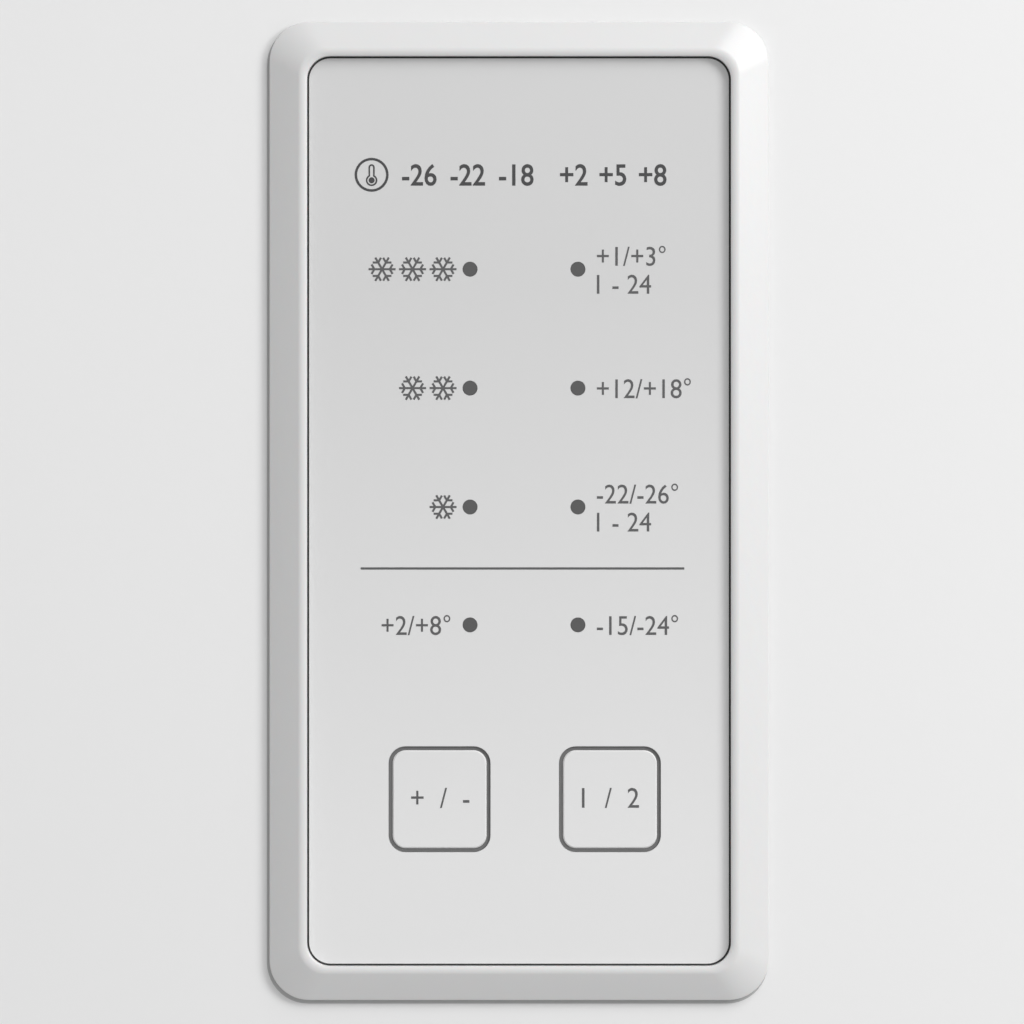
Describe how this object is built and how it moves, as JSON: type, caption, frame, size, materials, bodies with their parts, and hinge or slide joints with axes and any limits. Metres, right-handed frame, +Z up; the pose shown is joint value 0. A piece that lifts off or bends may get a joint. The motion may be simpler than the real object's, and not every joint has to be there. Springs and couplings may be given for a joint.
{
  "type": "stand refrigerator with freezer drawers",
  "caption": "White stand refrigerator: a hinged door with a framed key-and-lamp control panel, over pull-out freezer drawers.",
  "frame": {"origin": "on the floor, under the middle of the whole refrigerator's box", "axes": "+Z up, the doors face -Y, +X to the right as seen from the front"},
  "size_m": [0.595, 0.712, 1.785],
  "materials": {
    "white_paint": "satin",
    "galvanised_steel": "satin",
    "zinc_steel": "satin",
    "insulation_foam": "matte",
    "liner_white": "gloss",
    "white_plastic": "satin",
    "white_gloss": "gloss",
    "bezel_white": "satin",
    "panel_film": "satin",
    "smoked_lens": "gloss",
    "frosted_lens": "satin",
    "black_plastic": "matte",
    "circuit_board": "satin",
    "black_enamel": "gloss",
    "black_rubber": "matte",
    "gasket_rubber": "matte",
    "bare_aluminium": "satin",
    "clear_glass": "gloss",
    "clear_plastic": "gloss"
  },
  "bodies": {
    "cabinet": {"cabinet_shell": "white_paint", "cabinet_foam": "insulation_foam", "fridge_liner": "liner_white", "freezer_liner": "liner_white", "upper_mullion": "liner_white", "drawer_divider": "liner_white", "base_plate": "galvanised_steel", "kick_grille": "white_plastic", "back_panel": "galvanised_steel", "machine_cover": "galvanised_steel", "cable_gland": "black_plastic", "compressor": "black_enamel", "compressor_grommets": "black_rubber", "condenser_coil": "black_enamel", "fan_bracket": "galvanised_steel", "duct_cover": "liner_white", "lamp_lens": "frosted_lens", "evaporator": "bare_aluminium", "shelf_frames": "white_plastic", "shelf_glasses": "clear_glass", "top_hinge": "zinc_steel", "hinge_cover": "white_plastic", "lower_hinge": "zinc_steel", "lamp_switch_housing": "white_plastic", "fixed_rails": "zinc_steel"},
    "fridge_door": {"door_skin": "white_paint", "door_foam": "insulation_foam", "door_liner": "liner_white", "door_top_cap": "white_plastic", "door_bottom_cap": "white_plastic", "door_gasket": "gasket_rubber", "door_handle": "white_gloss", "door_bins": "clear_plastic", "panel_housing": "black_plastic", "panel_bezel": "bezel_white", "panel_cover": "panel_film", "light_guide": "smoked_lens", "panel_board": "circuit_board"},
    "temp_key": {"temp_key": "panel_film"},
    "zone_key": {"zone_key": "panel_film"},
    "upper_drawer": {"upper_front_skin": "white_paint", "upper_front_inner": "liner_white", "upper_gasket": "gasket_rubber", "upper_bin": "clear_plastic", "upper_handle": "white_gloss", "upper_inner_rails": "zinc_steel"},
    "lower_drawer": {"lower_front_skin": "white_paint", "lower_front_inner": "liner_white", "lower_gasket": "gasket_rubber", "lower_bin": "clear_plastic", "lower_handle": "white_gloss", "lower_inner_rails": "zinc_steel"},
    "upper_middle_rails": {"upper_middle_rails": "zinc_steel"},
    "lower_middle_rails": {"lower_middle_rails": "zinc_steel"},
    "cooling_fan": {"cooling_fan": "black_plastic"},
    "left_foot": {"left_foot": "black_plastic"},
    "right_foot": {"right_foot": "black_plastic"},
    "left_roller": {"left_roller": "black_plastic"},
    "right_roller": {"right_roller": "black_plastic"},
    "lamp_switch_plunger": {"lamp_switch_plunger": "white_plastic"}
  },
  "joints": [
    {"name": "fridge_door_hinge", "type": "hinge", "parent": "cabinet", "child": "fridge_door", "pos_m": [0.2815, -0.286, 1.248], "axis": [0, 0, 1], "range_deg": [0, 120]},
    {"name": "upper_drawer_slide", "type": "slide", "parent": "cabinet", "child": "upper_drawer", "axis": [0, -1, 0], "range_m": [0, 0.4]},
    {"name": "lower_drawer_slide", "type": "slide", "parent": "cabinet", "child": "lower_drawer", "axis": [0, -1, 0], "range_m": [0, 0.3]},
    {"name": "upper_middle_rail_slide", "type": "slide", "parent": "cabinet", "child": "upper_middle_rails", "axis": [0, -1, 0], "range_m": [0, 0.2]},
    {"name": "lower_middle_rail_slide", "type": "slide", "parent": "cabinet", "child": "lower_middle_rails", "axis": [0, -1, 0], "range_m": [0, 0.15]},
    {"name": "temp_key_press", "type": "slide", "parent": "fridge_door", "child": "temp_key", "axis": [0, 1, 0], "range_m": [0, 0.0005], "stiffness_N_per_m": 1600, "springref_m": -0.0003},
    {"name": "zone_key_press", "type": "slide", "parent": "fridge_door", "child": "zone_key", "axis": [0, 1, 0], "range_m": [0, 0.0005], "stiffness_N_per_m": 1600, "springref_m": -0.0003},
    {"name": "cooling_fan_spin", "type": "hinge", "parent": "cabinet", "child": "cooling_fan", "pos_m": [0.024, 0.248, 0.16], "axis": [1, 0, 0], "continuous": true},
    {"name": "left_foot_screw", "type": "hinge", "parent": "cabinet", "child": "left_foot", "pos_m": [-0.258, -0.208, 0], "axis": [0, 0, 1], "range_deg": [-180, 180]},
    {"name": "right_foot_screw", "type": "hinge", "parent": "cabinet", "child": "right_foot", "pos_m": [0.258, -0.208, 0], "axis": [0, 0, 1], "range_deg": [-180, 180]},
    {"name": "left_roller_spin", "type": "hinge", "parent": "cabinet", "child": "left_roller", "pos_m": [-0.262, 0.302, 0.018], "axis": [1, 0, 0], "continuous": true},
    {"name": "right_roller_spin", "type": "hinge", "parent": "cabinet", "child": "right_roller", "pos_m": [0.262, 0.302, 0.018], "axis": [1, 0, 0], "continuous": true},
    {"name": "lamp_switch_press", "type": "slide", "parent": "cabinet", "child": "lamp_switch_plunger", "axis": [0, -1, 0], "range_m": [0, 0.004]}
  ],
  "couplings": [
    {"joint": "upper_middle_rail_slide", "follows": "upper_drawer_slide", "ratio": 0.5},
    {"joint": "lower_middle_rail_slide", "follows": "lower_drawer_slide", "ratio": 0.5},
    {"joint": "lamp_switch_press", "follows": "fridge_door_hinge", "m_per_rad": 0.0019}
  ]
}
